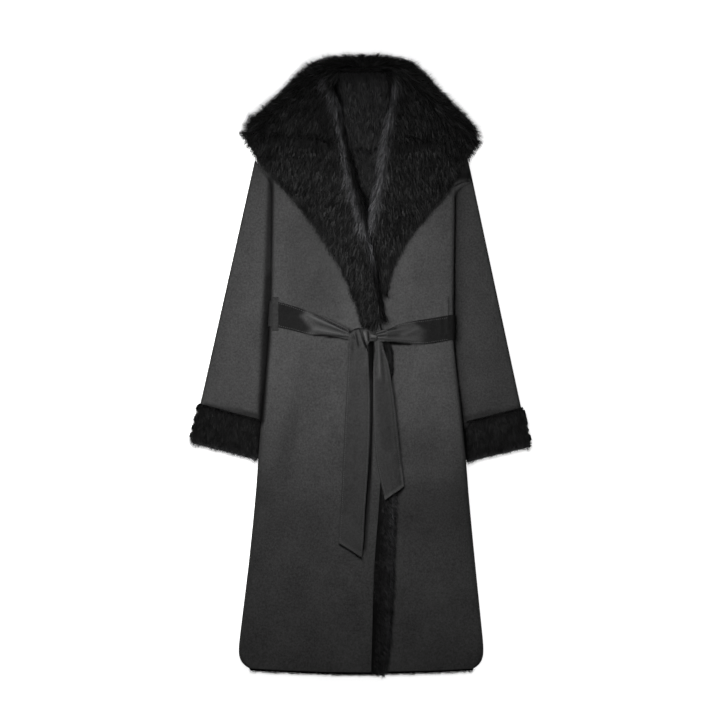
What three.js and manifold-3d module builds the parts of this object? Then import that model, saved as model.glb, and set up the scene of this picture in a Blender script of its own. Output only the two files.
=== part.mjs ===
// A long belted coat with a fur shawl collar, laid flat on its back with its front up.
// Millimetres. +X is the right of the coat as it is looked at, so the wearer's left side.
// +Y runs to the collar and +Z comes up out of the front. It rests on z = 0.
import * as THREE from "three";
import Module from "manifold-3d";

// Cloth: the outer suede, the fur pile bonded inside it, and the space between layers.
const SHELL = 1.8;
const SEAM = 0.3;
const PILE = 7;
const SLIT = 2.4;
const HALF = SHELL + SEAM + PILE + SLIT / 2;
const LINING_FROM = SHELL + SEAM;
const LINING_TO = LINING_FROM + PILE;

// Where one front laps over the other, the upper one is lifted by a whole front and this gap.
const LAP_GAP = 1.4;
const LAP_RISE = PILE + SHELL + SEAM + LAP_GAP;
const LAP_HIDDEN_EDGE = -60;

// Sleeves, cuffs and collar.
const SLEEVE_HALF = 8;
const SLEEVE_PILE = 5.4;
const CUFF_PILE = 7;
const CUFF_LENGTH = 84;
const COLLAR_PILE = 16;
const COLLAR_FALL = 14;
const HOOK = 11.5;
const EDGE_ROOM = 12.6;

// The belt: a flat band, gathered where it enters the knot.
const BELT = 2.4;
const BELT_GAP = 1.2;

const SUEDE = { color: 0x45454a, roughness: 0.85, metalness: 0 };
const FUR = { color: 0x1a1a1c, roughness: 1, metalness: 0 };
const SASH = { color: 0x36363a, roughness: 0.6, metalness: 0 };

// Reads a short table of [at, value] pairs as straight pieces, level past both ends.
function along(table, at) {
  const up = table[0][0] < table[table.length - 1][0];
  const rows = up ? table : [...table].reverse();
  if (at <= rows[0][0]) return rows[0][1];
  for (let i = 1; i < rows.length; i += 1) {
    const [a, va] = rows[i - 1];
    const [b, vb] = rows[i];
    if (at <= b) return va + ((vb - va) * (at - a)) / (b - a);
  }
  return rows[rows.length - 1][1];
}

const mix = (a, b, t) => a + (b - a) * t;

// Rows across the body, from the hem up to the back neck. Every lift below changes only at a row.
const ROWS = [
  -612, -602, -579, -520, -455, -389, -330, -270, -212, -150, -100, -40, 20, 45, 75, 105, 145, 185,
  240, 295, 331, 351, 369, 405, 432, 460, 490, 520,
];

// Half outlines of the body: [y, x] from hem to shoulder seam.
const LEFT_EDGE = [
  [-612, -222], [-602, -237], [-579, -244], [-389, -224], [-212, -209], [-189, -208],
  [-69, -198], [51, -188], [131, -182], [351, -180], [369, -182], [405, -215], [432, -209],
  [460, -198], [490, -168], [520, -128],
];
const RIGHT_EDGE = [
  [-612, 220], [-602, 234], [-579, 240], [-389, 224], [-189, 208], [-69, 196], [51, 184],
  [131, 184], [351, 187], [369, 221], [405, 214], [432, 206], [460, 194], [490, 166], [520, 122],
];

// Edge of the upper front below the belt, and how far its fur lining shows past it: [y, x].
const FRONT_EDGE = [
  [-619, 18], [-569, 19], [-509, 21], [-449, 22], [-389, 25], [-329, 30], [-269, 35],
  [-229, 38], [41, 44],
];
const STRIP_EDGE = [
  [-619, 38], [-569, 46], [-509, 51], [-429, 56], [-369, 58], [-279, 60], [41, 60], [60, 50],
];

// Roll lines of the two lapels: [y, x].
const LEFT_ROLL = [
  [81, 48], [111, 40], [161, 32], [207, 26], [251, 16], [295, 6], [361, -8], [411, -20],
  [461, -34], [521, -44], [561, -54],
];
const RIGHT_ROLL = [
  [295, 8], [331, 20], [381, 30], [431, 36], [481, 46], [531, 56], [581, 62],
];

// Inner edge of each sleeve, where it lies under the back of the body: [y, x].
const LEFT_TUCK = [[-190, -195], [252, -100], [413, -215], [460, -215]];
const RIGHT_TUCK = [[-190, 195], [252, 100], [396, 217], [460, 217]];

// How far the back is lifted by what lies under it: sleeves and cuffs, the collar's fall, the belt.
const SLEEVE_LIFT = 2 * SLEEVE_HALF + 0.8;
const CUFF_LIFT = 2 * (SLEEVE_HALF + SEAM + CUFF_PILE) + 0.8;
const LIFT_BY_TUCK = [
  [-330, 0], [-270, 7], [-212, CUFF_LIFT], [-100, CUFF_LIFT], [-40, SLEEVE_LIFT],
  [432, SLEEVE_LIFT], [460, 0],
];
const LIFT_BY_FALL = [
  [331, 0], [351, 2], [369, 4], [405, 11], [432, COLLAR_FALL + 0.8], [520, COLLAR_FALL + 0.8],
];
const LIFT_BY_BELT = [[20, 0], [45, BELT + 1], [145, BELT + 1], [185, 0]];

// The slope from a lifted side down to the middle: [distance inside the sleeve's edge, share].
const TUCK_SLOPE = [[8, 1], [22, 0.86], [38, 0.5], [52, 0.14], [68, 0]];

// Height of the back's underside above the floor.
function backUnder(x, y) {
  const inLeft = x - along(LEFT_TUCK, y);
  const inRight = along(RIGHT_TUCK, y) - x;
  const share = Math.max(along(TUCK_SLOPE, inLeft), along(TUCK_SLOPE, inRight));
  const tuck = share * along(LIFT_BY_TUCK, y);
  return Math.max(tuck, along(LIFT_BY_FALL, y)) + along(LIFT_BY_BELT, y);
}

// Edge of the lower front: hidden under the lap, then out to its own roll line.
function lowerEdge(y) {
  const open = along(RIGHT_ROLL, 295) + EDGE_ROOM;
  if (y >= 295) return along(RIGHT_ROLL, y) + EDGE_ROOM;
  return along([[81, LAP_HIDDEN_EDGE], [295, open]], y);
}

// Edge of the upper front: its roll line down to the belt, then the straight front edge.
function upperEdge(y) {
  const rolled = along(LEFT_ROLL, y) - EDGE_ROOM;
  if (y >= 81) return rolled;
  return along([[41, along(FRONT_EDGE, 41)], [81, rolled]], Math.max(y, 41)) +
    (y < 41 ? along(FRONT_EDGE, y) - along(FRONT_EDGE, 41) : 0);
}

// The slope on which the upper front climbs over the hidden edge: [distance past it, share].
const LAP_SLOPE = [[-66, 0], [-50, 0.16], [-34, 0.5], [-20, 0.84], [-6, 1]];
const LAP_BY_ROW = [[295, 1], [331, 0.6], [369, 0]];

function lapRise(x, y) {
  return LAP_RISE * along(LAP_SLOPE, x - lowerEdge(y)) * along(LAP_BY_ROW, y);
}

// The hem hangs lowest in the middle.
function hemDrop(x, y) {
  const near = along([[-612, 1], [-455, 0]], y);
  return -8 * near * Math.max(0, 1 - (x / 235) ** 2);
}

const point = (x, y, z) => new THREE.Vector3(x, y, z);

// Puts a list of columns in order between two ends, with at least a little room between them.
function columnsBetween(low, high, wanted) {
  const sorted = [...wanted].sort((a, b) => a - b);
  const room = Math.min(1.5, (high - low) / (sorted.length + 2));
  const fitted = sorted.map((x, i) =>
    Math.min(Math.max(x, low + room * (i + 1)), high - room * (sorted.length - i)),
  );
  return [low, ...fitted, high];
}

// Angles round a side edge, from the side seam to the flat.
const TURN = [0, 35, 65, 90].map((a) => (a * Math.PI) / 180);

// Points of one layer of a side edge: side -1 left or 1 right, face 1 front or -1 back.
function sideTurn(side, face, y, depth, rise) {
  const edge = along(side < 0 ? LEFT_EDGE : RIGHT_EDGE, y);
  const middle = edge - side * HALF;
  const centre = backUnder(middle, y) + HALF + rise;
  const radius = HALF - depth;
  return TURN.map((a) => {
    const x = middle + side * radius * Math.cos(a);
    const z = centre + face * Math.max(SEAM / 2, radius * Math.sin(a));
    return point(x, y + hemDrop(x, y), z);
  });
}

// A closed solid between two grids of the same size. A ring grid joins its last column to its first.
function between(outer, inner, ring = false) {
  const rows = outer.length;
  const cols = outer[0].length;
  const flat = [...outer.flat(), ...inner.flat()];
  const positions = new Float32Array(flat.length * 3);
  flat.forEach((p, i) => positions.set([p.x, p.y, p.z], i * 3));
  const at = (face, r, c) => face * rows * cols + r * cols + (c % cols);
  const faces = [];
  const quad = (a, b, c, d) => faces.push(a, b, c, a, c, d);
  const last = ring ? cols : cols - 1;
  for (let r = 0; r + 1 < rows; r += 1) {
    for (let c = 0; c < last; c += 1) {
      quad(at(0, r, c), at(0, r, c + 1), at(0, r + 1, c + 1), at(0, r + 1, c));
      quad(at(1, r, c), at(1, r + 1, c), at(1, r + 1, c + 1), at(1, r, c + 1));
    }
  }
  for (let c = 0; c < last; c += 1) {
    quad(at(0, 0, c), at(1, 0, c), at(1, 0, c + 1), at(0, 0, c + 1));
    quad(at(0, rows - 1, c), at(0, rows - 1, c + 1), at(1, rows - 1, c + 1), at(1, rows - 1, c));
  }
  for (let r = 0; !ring && r + 1 < rows; r += 1) {
    quad(at(0, r, 0), at(0, r + 1, 0), at(1, r + 1, 0), at(1, r, 0));
    quad(at(0, r, cols - 1), at(1, r, cols - 1), at(1, r + 1, cols - 1), at(0, r + 1, cols - 1));
  }
  const geometry = new THREE.BufferGeometry();
  geometry.setAttribute("position", new THREE.BufferAttribute(positions, 3));
  geometry.setIndex(signedVolume(positions, faces) < 0 ? faces.reverse() : faces);
  return geometry;
}

function signedVolume(p, faces) {
  let sum = 0;
  for (let i = 0; i < faces.length; i += 3) {
    const [a, b, c] = [faces[i] * 3, faces[i + 1] * 3, faces[i + 2] * 3];
    sum += p[a] * (p[b + 1] * p[c + 2] - p[b + 2] * p[c + 1]);
    sum += p[a + 1] * (p[b + 2] * p[c] - p[b] * p[c + 2]);
    sum += p[a + 2] * (p[b] * p[c + 1] - p[b + 1] * p[c]);
  }
  return sum;
}

const group = new THREE.Group();

function add(name, geometry, look) {
  const flatShaded = geometry.index ? geometry.toNonIndexed() : geometry;
  flatShaded.computeVertexNormals();
  const mesh = new THREE.Mesh(flatShaded, new THREE.MeshStandardMaterial(look));
  mesh.name = name;
  group.add(mesh);
}

const wasm = await Module();
wasm.setup();

// Joins solids into one.
function joined(geometries) {
  const solids = geometries.map((g) => {
    const mesh = new wasm.Mesh({
      numProp: 3,
      vertProperties: g.attributes.position.array,
      triVerts: new Uint32Array(g.index.array),
    });
    return new wasm.Manifold(mesh);
  });
  const whole = wasm.Manifold.union(solids).getMesh();
  const geometry = new THREE.BufferGeometry();
  geometry.setAttribute("position", new THREE.BufferAttribute(whole.vertProperties, 3));
  geometry.setIndex(new THREE.BufferAttribute(whole.triVerts, 1));
  return geometry;
}

// Columns where the slopes of the lifted sides change.
const leftKnees = (y) => TUCK_SLOPE.map(([d]) => along(LEFT_TUCK, y) + d);
const rightKnees = (y) => TUCK_SLOPE.map(([d]) => along(RIGHT_TUCK, y) - d);

// The lining hangs a little past the shell at the hem, where its fur shows.
const LINING_HEM = -7;
const bodyRows = (lining) => (lining ? [ROWS[0] + LINING_HEM, ...ROWS] : ROWS);

// One layer of the back, from side seam to side seam.
function backLayer(depth, lining) {
  return bodyRows(lining).map((y) => {
    const low = along(LEFT_EDGE, y) + HALF;
    const high = along(RIGHT_EDGE, y) - HALF;
    const middle = [-18, 18];
    const columns = columnsBetween(low, high, [...leftKnees(y), ...middle, ...rightKnees(y)]);
    const flat = columns.map((x) => point(x, y + hemDrop(x, y), backUnder(x, y) + depth));
    const left = sideTurn(-1, -1, y, depth, 0);
    const right = sideTurn(1, -1, y, depth, 0).reverse();
    return [...left.slice(0, -1), ...flat, ...right.slice(1)];
  });
}

add("back_shell", between(backLayer(0), backLayer(SHELL)), SUEDE);
add("back_lining", between(backLayer(LINING_FROM, true), backLayer(LINING_TO, true)), FUR);

// One layer of the upper front, the wearer's right: side seam, over the lap, to its own edge.
function upperFrontLayer(depth, lining) {
  return bodyRows(lining).map((y) => {
    const low = along(LEFT_EDGE, y) + HALF;
    const shown = lining && y < 60 ? along(STRIP_EDGE, y) : upperEdge(y);
    const climb = LAP_SLOPE.map(([d]) => lowerEdge(y) + d);
    const columns = columnsBetween(low, shown, [...leftKnees(y), ...climb, upperEdge(y) - 14]);
    const flat = columns.map((x) => {
      const top = backUnder(x, y) + 2 * HALF + lapRise(x, y);
      return point(x, y + hemDrop(x, y), top - depth);
    });
    return [...sideTurn(-1, 1, y, depth, 0).slice(0, -1), ...flat];
  });
}

add("right_front_shell", between(upperFrontLayer(0), upperFrontLayer(SHELL)), SUEDE);
add(
  "right_front_lining",
  between(upperFrontLayer(LINING_FROM, true), upperFrontLayer(LINING_TO, true)),
  FUR,
);

// One layer of the lower front, the wearer's left: hidden edge to side seam.
function lowerFrontLayer(depth, lining) {
  return bodyRows(lining).map((y) => {
    const low = lowerEdge(y);
    const high = along(RIGHT_EDGE, y) - HALF;
    const columns = columnsBetween(low, high, [mix(low, high, 0.3), ...rightKnees(y)]);
    const flat = columns.map((x) =>
      point(x, y + hemDrop(x, y), backUnder(x, y) + 2 * HALF - depth),
    );
    return [...flat, ...sideTurn(1, 1, y, depth, 0).reverse().slice(1)];
  });
}

add("left_front_shell", between(lowerFrontLayer(0), lowerFrontLayer(SHELL)), SUEDE);
add(
  "left_front_lining",
  between(lowerFrontLayer(LINING_FROM, true), lowerFrontLayer(LINING_TO, true)),
  FUR,
);

// Sleeves: flattened tubes from the armhole seam to the cuff. Corners as [x, y].
const SLEEVES = {
  right: { head: [-215, 413], underarm: [-100, 252], wrist: [-325, -78], palm: [-191, -114] },
  left: { head: [217, 396], underarm: [100, 252], wrist: [320, -86], palm: [191, -118] },
};

// Height of a sleeve's middle along its length.
const SLEEVE_BED = [[0, 0], [0.88, 0], [0.985, CUFF_PILE + SEAM], [2, CUFF_PILE + SEAM]];

// One ring round a flattened sleeve: t along it, radius its half thickness here.
function sleeveRing(cut, t, radius, half, spread = 0) {
  const outer = point(mix(cut.head[0], cut.wrist[0], t), mix(cut.head[1], cut.wrist[1], t), 0);
  const inner = point(
    mix(cut.underarm[0], cut.palm[0], t),
    mix(cut.underarm[1], cut.palm[1], t),
    0,
  );
  const across = inner.clone().sub(outer);
  const width = across.length();
  across.normalize();
  outer.addScaledVector(across, -spread);
  const span = width + 2 * spread - 2 * half;
  const bed = SLEEVE_HALF + along(SLEEVE_BED, t);
  const ring = [];
  const put = (d, z) => {
    const p = outer.clone().addScaledVector(across, half + d);
    p.z = bed + z;
    ring.push(p);
  };
  const arc = [-60, -20, 20, 60].map((a) => (a * Math.PI) / 180);
  arc.forEach((a) => put(-radius * Math.cos(a), radius * Math.sin(a)));
  [0, 0.2, 0.5, 0.8, 1].forEach((s) => put(s * span, radius));
  arc.forEach((a) => put(span + radius * Math.cos(a), -radius * Math.sin(a)));
  [1, 0.8, 0.5, 0.2, 0].forEach((s) => put(s * span, -radius));
  return ring;
}

const SLEEVE_STEPS = [0, 0.12, 0.25, 0.48, 0.7, 0.88, 0.985, 1.14];

for (const [side, cut] of Object.entries(SLEEVES)) {
  const rings = (depth) =>
    SLEEVE_STEPS.map((t) => sleeveRing(cut, t, SLEEVE_HALF - depth, SLEEVE_HALF));
  add(side + "_sleeve_shell", between(rings(0), rings(SHELL), true), SUEDE);
  const inside = SHELL + SEAM;
  add(
    side + "_sleeve_lining",
    between(rings(inside), rings(inside + SLEEVE_PILE), true),
    FUR,
  );
}

// Cuffs: the fur turned back over the sleeve end. [length along, outer half, inner half].
const OVER = SLEEVE_HALF + SEAM;
const CUFF_PROFILE = [
  [0, OVER + 4.6, OVER], [7, OVER + CUFF_PILE, OVER], [28, OVER + CUFF_PILE, OVER],
  [56, OVER + CUFF_PILE, OVER], [74, OVER + CUFF_PILE - 0.2, OVER],
  [75, OVER + CUFF_PILE - 0.3, 1.2], [CUFF_LENGTH, OVER + CUFF_PILE - 4, 1.2],
];

// A cuff is as long on the palm's side as on the outer side, so its cut starts as far up on both.
function cuffCut(sleeve) {
  const [outerX, outerY] = [0, 1].map((i) => sleeve.head[i] - sleeve.wrist[i]);
  const [innerX, innerY] = [0, 1].map((i) => sleeve.underarm[i] - sleeve.palm[i]);
  const length = Math.hypot(outerX, outerY);
  const more = length / Math.hypot(innerX, innerY);
  const underarm = [sleeve.palm[0] + more * innerX, sleeve.palm[1] + more * innerY];
  return { ...sleeve, underarm, length };
}

for (const [side, sleeve] of Object.entries(SLEEVES)) {
  const cut = cuffCut(sleeve);
  const ring = (which) =>
    CUFF_PROFILE.map(([at, outer, inner]) => {
      const radius = which ? inner : outer;
      const t = 1 + (at - 2) / cut.length;
      return sleeveRing(cut, t, radius, SLEEVE_HALF, which && at > 74 ? -1 : 0);
    });
  add(side + "_cuff", between(ring(0), ring(1), true), FUR);
}

// The collar, as sections from its roll line out to its outline: roll [x, y], rim [x, y],
// pile on top, and fall [x, y], where it ends under the back (none on the lapels), and hook, how
// far its roll turns down round the front's edge.
const section = (roll, rim, pile, fall, hook = 1) => ({ roll, rim, pile, fall, hook });
const RIGHT_COLLAR = [
  section([47, 96], [12, 76], 8, null, 0.35),
  section([40, 126], [-2, 94], 12, null, 0.7),
  section([32, 161], [-20, 147], 15, null),
  section([26, 207], [-44, 195], COLLAR_PILE, null),
  section([16, 251], [-84, 261], COLLAR_PILE, null),
  section([6, 295], [-124, 315], COLLAR_PILE, null),
  section([-1, 331], [-174, 375], COLLAR_PILE, null),
  section([-8, 361], [-200, 397], COLLAR_PILE, null),
  section([-20, 411], [-226, 432], COLLAR_PILE, null),
  section([-30, 446], [-238, 461], COLLAR_PILE, [-206, 458]),
  section([-38, 486], [-226, 493], COLLAR_PILE, [-150, 455]),
  section([-44, 521], [-184, 529], COLLAR_PILE, [-115, 452]),
  section([-51, 546], [-144, 571], COLLAR_PILE, [-88, 449]),
  section([-53, 564], [-106, 606], COLLAR_PILE, [-62, 446]),
  section([-42, 577], [-64, 621], COLLAR_PILE, [-36, 443]),
  section([-22, 582], [-28, 624], COLLAR_PILE, [-14, 441]),
  section([-0.2, 583], [-0.2, 622], COLLAR_PILE, [-0.2, 440]),
];
const LEFT_COLLAR = [
  section([38, 142], [49, 138], 7, null, 0),
  section([30.5, 185], [60, 189], 11, null, 0),
  section([24, 225], [76, 225], 14, null, 0),
  section([17, 260], [97, 258], COLLAR_PILE, null, 0),
  section([9, 297], [126, 297], COLLAR_PILE, null, 0),
  section([20, 331], [164, 331], COLLAR_PILE, null),
  section([26, 361], [182, 358], COLLAR_PILE, null),
  section([30, 385], [197, 390], COLLAR_PILE, null),
  section([34, 415], [218, 415], COLLAR_PILE, null),
  section([39, 445], [234, 445], COLLAR_PILE, [204, 450]),
  section([44, 472], [233, 469], COLLAR_PILE, [165, 455]),
  section([49, 497], [215, 494], COLLAR_PILE, [135, 453]),
  section([55, 525], [188, 520], COLLAR_PILE, [110, 451]),
  section([58, 547], [158, 551], COLLAR_PILE, [92, 449]),
  section([57, 562], [130, 582], COLLAR_PILE, [74, 447]),
  section([48, 573], [98, 610], COLLAR_PILE, [54, 444]),
  section([34, 580], [60, 621], COLLAR_PILE, [33, 442]),
  section([18, 583], [27, 624], COLLAR_PILE, [14, 441]),
  section([0.2, 583], [0.2, 622], COLLAR_PILE, [0.2, 440]),
];
const COLLAR_GAP = 1.8;
const NECK = 535;

// Top of the front that a collar lies on: the highest of the cloth close around a point.
const NEAR = [[0, 0], [14, 0], [-14, 0], [0, 18], [0, -18]];
function frontTop(x, y, upper) {
  const tops = NEAR.map(([dx, dy]) => {
    const held = Math.min(y + dy, 520);
    return backUnder(x + dx, held) + 2 * HALF + (upper ? lapRise(x + dx, held) : 0);
  });
  return Math.max(...tops);
}

// One section of the collar as a pair of lines, the outside and the inside of its thickness.
// Where the lapel runs on into the wrapped part it is sunk a little inside it.
function collarSection(s, upper, wraps, sunk = 0) {
  const roll = point(...s.roll, 0);
  const out = point(...s.rim, 0).sub(roll);
  const width = out.length();
  out.normalize();
  const on = (r, z) => {
    const p = roll.clone().addScaledVector(out, r);
    p.z = z;
    return p;
  };
  const rest = (r) => {
    const p = on(r, 0);
    const edge = along(upper ? LEFT_EDGE : RIGHT_EDGE, p.y);
    const x = upper ? Math.max(p.x, edge + HALF) : Math.min(p.x, edge - HALF);
    return frontTop(x, p.y, upper) + COLLAR_GAP;
  };
  const hook = mix(1.4, HOOK, s.hook);
  const base = rest(hook + 2);
  const open = upper ? along([[300, 1], [331, 0]], s.roll[1]) : 0;
  const lining = backUnder(s.roll[0], Math.min(s.roll[1], 520)) + LINING_TO + SLIT / 2 + 0.6;
  const under = s.roll[1] > NECK ? COLLAR_FALL + 1 : lining;
  const low = s.hook ? mix(under, base - (upper ? LAP_RISE * 0.9 : 0), open) : base;
  const outside = [];
  const inside = [];
  const put = (ro, zo, ri, zi) => {
    outside.push(on(ro, zo));
    inside.push(on(ri, zi));
  };
  const pile = s.pile;
  put(0, low, hook, low);
  put(0.4, base + pile * 0.45, hook + 0.2, base);
  put(Math.min(5, hook), base + pile * 0.82, hook + 2, base);
  const top = rest(width * 0.5) + pile;
  if (!wraps) {
    const from = hook + 2.5;
    const to = width - 5 - 3 * sunk;
    [0.12, 0.4, 0.7].forEach((k) => {
      const r = mix(from, to, k);
      put(r, s.fall ? top - sunk : rest(r) + pile * (1 - 0.1 * k), r, rest(r));
    });
    put(to + 1, rest(to) + pile * 0.72, to, rest(to));
    put(to + 5, rest(to) + pile * 0.35, to + 2, rest(to));
    return { outside, inside };
  }
  const tall = top / 2;
  const deep = Math.min(tall, width - hook - 4.5);
  const thin = Math.max(2, deep - pile);
  const turnAt = width - deep;
  [0.12, 0.4, 0.7].forEach((k) => {
    const r = mix(hook + 2.5, turnAt, k);
    put(r, top, r, Math.min(rest(r), top - 4));
  });
  [90, 55, 20, -20, -55, -90].forEach((deg) => {
    const a = (deg * Math.PI) / 180;
    const inner = tall - pile - 0.2;
    put(
      turnAt + deep * Math.cos(a),
      tall + tall * Math.sin(a),
      turnAt + thin * Math.cos(a),
      tall + inner * Math.sin(a) - (deg < 0 ? 1.6 * Math.sin(-a) : 0),
    );
  });
  const start = on(turnAt, 0);
  const end = point(...s.fall, 0);
  [0.35, 0.7, 1].forEach((k) => {
    const edge = k === 1 ? 5 : 0;
    outside.push(start.clone().lerp(end, k));
    inside.push(start.clone().lerp(end, k).setZ(COLLAR_FALL - edge));
  });
  return { outside, inside };
}

function collarHalf(sections, upper) {
  const first = sections.findIndex((s) => s.fall);
  const lapel = sections
    .slice(0, first + 2)
    .map((s, i) => collarSection(s, upper, false, i > first ? 2.5 : i === first ? 0.4 : 0));
  const round = sections.slice(first).map((s) => collarSection(s, upper, true));
  return joined(
    [lapel, round].map((part) =>
      between(
        part.map((s) => s.outside),
        part.map((s) => s.inside),
      ),
    ),
  );
}

add("collar_right", collarHalf(RIGHT_COLLAR, true), FUR);
add("collar_left", collarHalf(LEFT_COLLAR, false), FUR);

// The collar stand, fur side up, which climbs inside the back neck to the roll: [y, under, top].
const STAND = [
  [434, 24.3, 30], [460, 24.3, 32], [490, 24.3, 35], [521, 24.3, 38], [523, 16, 39],
  [545, 16, 43], [566, 16, 46],
];
const standRow = (y, z) =>
  [0, 0.25, 0.5, 0.75, 1].map((s) => {
    const low = along(LEFT_ROLL, y) + 2 + along([[540, 0], [566, 5]], y);
    const high = along(RIGHT_ROLL, y) - 2 - along([[540, 0], [566, 9]], y);
    return point(mix(low, high, s), y, z);
  });
add(
  "collar_stand",
  between(
    STAND.map(([y, , top]) => standRow(y, top)),
    STAND.map(([y, under]) => standRow(y, under)),
  ),
  FUR,
);

// Height of the cloth that the belt and its tails lie on. Past the upper front's edge it steps down.
function beltBed(x, y) {
  const rise = lapRise(Math.min(x, 40), y);
  const past = along(STRIP_EDGE, y);
  const step = along([[0, 1], [24, 0]], x - past);
  return backUnder(x, y) + 2 * HALF + rise * step;
}

// The belt as it runs from the knot round the coat: [x, middle y, half width].
const BELT_LEFT = [[-25.5, 62, 10], [-44, 69, 13], [-72, 78, 17], [-104, 84, 23], [-138, 95, 24.5]];
const BELT_RIGHT = [
  [45, 58, 10], [60, 62, 15], [78, 65, 19], [100, 66, 22.5], [126, 67.5, 25], [156, 72, 25],
];
const BELT_AT_SIDE = { left: [103, 25], right: [76, 25] };

function beltLayer(depth) {
  const lines = [];
  const strip = (make) => lines.push([-1, -0.5, 0, 0.5, 1].map(make));
  const bunch = (half) => 1 + (25.5 - half) * 0.11;
  const front = ([x, y, half]) =>
    strip((v) => {
      const at = y + v * half;
      const fold = (25.5 - half) * 0.16 * (1 - v * v);
      const bed = Math.max(...NEAR.map(([dx, dy]) => beltBed(x + dx, at + dy / 2)));
      return point(x, at, bed + BELT_GAP + (depth ? BELT * bunch(half) + fold : 0));
    });
  const turn = (side, [y, half], angles) =>
    angles.forEach((deg) =>
      strip((v) => {
        const at = y + v * half;
        const edge = along(side < 0 ? LEFT_EDGE : RIGHT_EDGE, at);
        const middle = edge - side * HALF;
        const radius = HALF + BELT_GAP + (depth ? BELT : 0);
        const a = (deg * Math.PI) / 180;
        const z = backUnder(middle, at) + HALF + radius * Math.sin(a);
        return point(middle + side * radius * Math.cos(a), at, z + (deg < 0 ? 0.5 * Math.sin(-a) : 0));
      }),
    );
  const under = (x) => {
    const share = (x + 180) / 364;
    const y = mix(BELT_AT_SIDE.left[0], BELT_AT_SIDE.right[0], share);
    strip((v) => {
      const at = y + v * 25;
      const bed = Math.min(...NEAR.map(([dx]) => backUnder(x + dx / 2, at)));
      return point(x, at, bed - BELT_GAP + 0.5 - (depth ? BELT : 0));
    });
  };
  BELT_LEFT.forEach(front);
  turn(-1, BELT_AT_SIDE.left, [90, 50, 10, -30, -65, -90]);
  [-135, -122, -108, -92, -76, -50, 0, 50, 70, 86, 102, 118, 137].forEach(under);
  turn(1, BELT_AT_SIDE.right, [-90, -65, -30, 10, 50, 90]);
  [...BELT_RIGHT].reverse().forEach(front);
  return lines;
}

add("belt_band", between(beltLayer(1), beltLayer(0)), SASH);

// A loop of the suede holds the belt near the wearer's right side seam: [y, 1 over the belt].
const LOOP_FROM = -179;
const LOOP_TO = -167;
const LOOP_ROWS = [[137, 0], [131, 1], [103, 1], [75, 1], [69, 0]];

function loopLayer(top) {
  return LOOP_ROWS.map(([y, over]) =>
    [0, 0.33, 0.66, 1].map((s) => {
      const x = mix(LOOP_FROM, LOOP_TO, s);
      const middle = along(LEFT_EDGE, y) + HALF;
      const radius = HALF + SEAM + 0.2 + over * (BELT_GAP + BELT) + (top ? SHELL : 0);
      const past = Math.min(0, x - middle);
      return point(x, y, backUnder(middle, y) + HALF + Math.sqrt(radius ** 2 - past ** 2));
    }),
  );
}
add("belt_loop", between(loopLayer(true), loopLayer(false)), SUEDE);

// The knot: a loop over to the left, the wrap in the middle and the folds to the right, each a
// cushion with its middle [x, y], half sizes, height and lean.
const KNOT = [
  { at: [-4, 58], half: [18, 18], height: 13, lean: -0.25 },
  { at: [14, 56], half: [14, 15], height: 18, lean: 0.1 },
  { at: [34, 57], half: [10.3, 10.5], height: 12, lean: 0 },
];
const KNOT_LOW = 42;

function cushion({ at, half, height, lean }) {
  const steps = [-1, -0.8, -0.3, 0.3, 0.8, 1];
  const bed = beltBed(14, 57) + BELT_GAP;
  const grid = (top) =>
    steps.map((v) =>
      steps.map((u) => {
        const round = Math.sqrt(Math.max(0, 1 - Math.max(u * u, v * v)));
        const corner = 1 - 0.16 * u * u * v * v;
        const x = at[0] + half[0] * u * corner + lean * half[1] * v;
        const y = Math.max(at[1] + half[1] * v * corner, KNOT_LOW);
        return point(x, y, bed + (top ? 2 + (height - 2) * round : 0));
      }),
    );
  return between(grid(1), grid(0));
}
add("belt_knot", joined(KNOT.map(cushion)), SASH);

// The hanging ends of the belt: [y at the left edge, x left, y at the right edge, x right].
const TAIL_LONG = [
  [40.5, -25, 40.5, 12], [20, -27, 20, 13.5], [-49, -32, -49, 15.5], [-129, -38, -129, 15.5],
  [-189, -40, -209, 12], [-269, -42, -289, 6], [-339, -44, -369, 1], [-355, -47, -385, 0],
];
const TAIL_SHORT = [
  [40.5, 25, 40.5, 41], [20, 23.5, 20, 48], [-9, 22, -1, 54], [-69, 22, -59, 64], [-149, 24, -129, 70],
  [-199, 30, -179, 76], [-262, 44, -233, 82.5], [-269, 46, -243, 84],
];
const BULGE = 3;

function tail(table, room) {
  const layer = (top) =>
    table.map(([yl, xl, yr, xr], i) =>
      [0, 0.16, 0.38, 0.62, 0.84, 1].map((s) => {
        const x = mix(xl, xr, s);
        const y = mix(yl, yr, s);
        const fade = Math.max(0, 1 - i / 4);
        const arch = BULGE * fade * Math.sin(Math.PI * s) + 0.8 * Math.sin(3 * Math.PI * s);
        return point(x, y, beltBed(x, y) + room + Math.max(0, arch) + (top ? BELT : 0));
      }),
    );
  return between(layer(1), layer(0));
}
add("belt_tail_long", tail(TAIL_LONG, 0.4), SASH);
add("belt_tail_short", tail(TAIL_SHORT, 0.5), SASH);

// The frame's origin is under the middle of the whole coat.
const whole = new THREE.Box3().setFromObject(group);
const centre = whole.getCenter(new THREE.Vector3());
group.position.set(-centre.x, -centre.y, -whole.min.z);

export default group;
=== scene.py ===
import bmesh
import bpy
import math
import numpy as np
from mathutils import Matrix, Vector, kdtree, noise
from mathutils.bvhtree import BVHTree


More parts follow.
